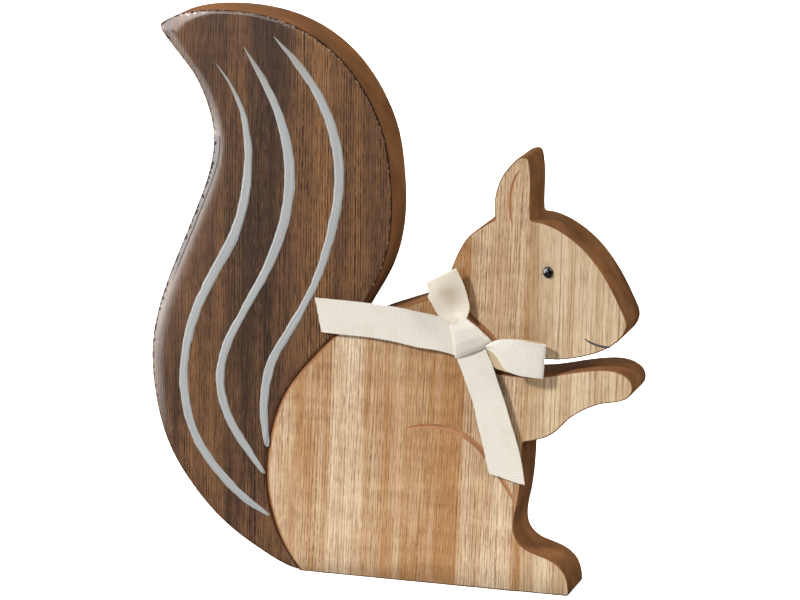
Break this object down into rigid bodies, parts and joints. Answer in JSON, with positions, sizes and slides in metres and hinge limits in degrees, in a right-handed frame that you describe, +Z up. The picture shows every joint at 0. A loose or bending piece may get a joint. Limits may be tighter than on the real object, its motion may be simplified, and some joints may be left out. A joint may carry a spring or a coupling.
{
  "type": "squirrel figurine",
  "caption": "Flat wooden squirrel ornament on its own base: light sawn body, dark gloss-coated tail with painted stripes, and a cream tape bow round the neck.",
  "frame": {"origin": "on the flat resting face, midway between the heel and the toes and halfway through the boards", "axes": "+Z up, +X towards the muzzle, -Y towards the decorated front face"},
  "size_m": [0.1908, 0.0275, 0.2166],
  "materials": {
    "light_wood": "open-grained light wood, sanded and left matt, with brown stain on the sawn sides",
    "pale_wood": "paler stave of the same wood with a coarser grain, sanded and left matt",
    "stained_wood": "walnut-brown stain, matt on the sawn sides",
    "gloss_coat": "thick gloss coat over dark stained wood, rounded at the rim",
    "stripe_paint": "silver-white paint, satin, with brush streaks",
    "dowel_wood": "plain turned wood",
    "eye_black": "glossy black",
    "mouth_ink": "black paint line",
    "cream_tape": "cream cotton tape with fine cross ribs"
  },
  "bodies": {
    "root": {"body_board": "light_wood", "muzzle_stave": "pale_wood", "forearm_stave": "pale_wood", "toe_stave": "pale_wood", "tail_board": "stained_wood", "tail_coat": "gloss_coat", "tail_stripe_outer": "stripe_paint", "tail_stripe_middle": "stripe_paint", "tail_stripe_inner": "stripe_paint", "tail_dowel_1": "dowel_wood", "tail_dowel_2": "dowel_wood", "eye_bead": "eye_black", "mouth_line": "mouth_ink", "ribbon_neck_band": "cream_tape", "ribbon_knot": "cream_tape", "ribbon_upper_loop": "cream_tape", "ribbon_right_loop": "cream_tape", "ribbon_left_tail": "cream_tape", "ribbon_lower_tail": "cream_tape"}
  },
  "joints": []
}
